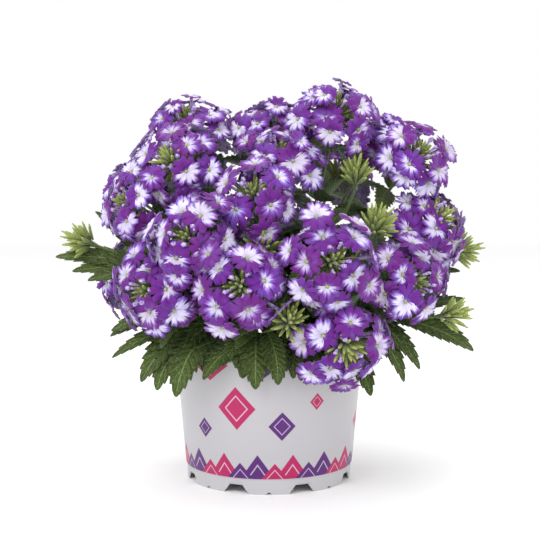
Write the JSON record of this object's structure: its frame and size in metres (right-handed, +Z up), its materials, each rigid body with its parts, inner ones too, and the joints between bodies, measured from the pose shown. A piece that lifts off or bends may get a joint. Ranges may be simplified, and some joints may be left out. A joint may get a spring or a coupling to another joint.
{
  "type": "potted verbena",
  "caption": "Bushy verbena in full flower, its domed heads of notched five-petalled florets on leafy stems, standing in the soil of a round nursery pot.",
  "frame": {"origin": "on the surface that the pot stands on, at the pot's axis", "axes": "+Z up, along the pot's axis; -Y to the front, where the largest leaves hang over the rim"},
  "size_m": [0.3029, 0.2527, 0.2865],
  "materials": {
    "pot": "satin",
    "soil": "matte",
    "foliage": "matte",
    "petals": "matte"
  },
  "bodies": {
    "root": {"back_left_bloom": "petals", "back_left_stem": "foliage", "back_left_top_bloom": "petals", "back_left_top_stem": "foliage", "back_middle_bloom": "petals", "back_middle_stem": "foliage", "back_right_bloom": "petals", "back_right_stem": "foliage", "back_right_top_bloom": "petals", "back_right_top_stem": "foliage", "centre_low_bloom": "petals", "centre_low_stem": "foliage", "centre_right_bloom": "petals", "centre_right_stem": "foliage", "centre_top_bloom": "petals", "centre_top_stem": "foliage", "crest_back_bloom": "petals", "crest_back_stem": "foliage", "crest_front_bloom": "petals", "crest_front_stem": "foliage", "crest_middle_bloom": "petals", "crest_middle_stem": "foliage", "crest_right_bloom": "petals", "crest_right_stem": "foliage", "front_low_bloom": "petals", "front_low_stem": "foliage", "left_crest_bloom": "petals", "left_crest_stem": "foliage", "left_low_bloom": "petals", "left_low_stem": "foliage", "left_middle_bloom": "petals", "left_middle_stem": "foliage", "left_side_bloom": "petals", "left_side_low_bloom": "petals", "left_side_low_stem": "foliage", "left_side_stem": "foliage", "left_top_bloom": "petals", "left_top_stem": "foliage", "left_wing_bloom": "petals", "left_wing_stem": "foliage", "pot": "pot", "right_crest_bloom": "petals", "right_crest_stem": "foliage", "right_low_bloom": "petals", "right_low_stem": "foliage", "right_side_bloom": "petals", "right_side_stem": "foliage", "right_top_bloom": "petals", "right_top_stem": "foliage", "right_wing_bloom": "petals", "right_wing_stem": "foliage", "soil": "soil"}
  },
  "joints": []
}
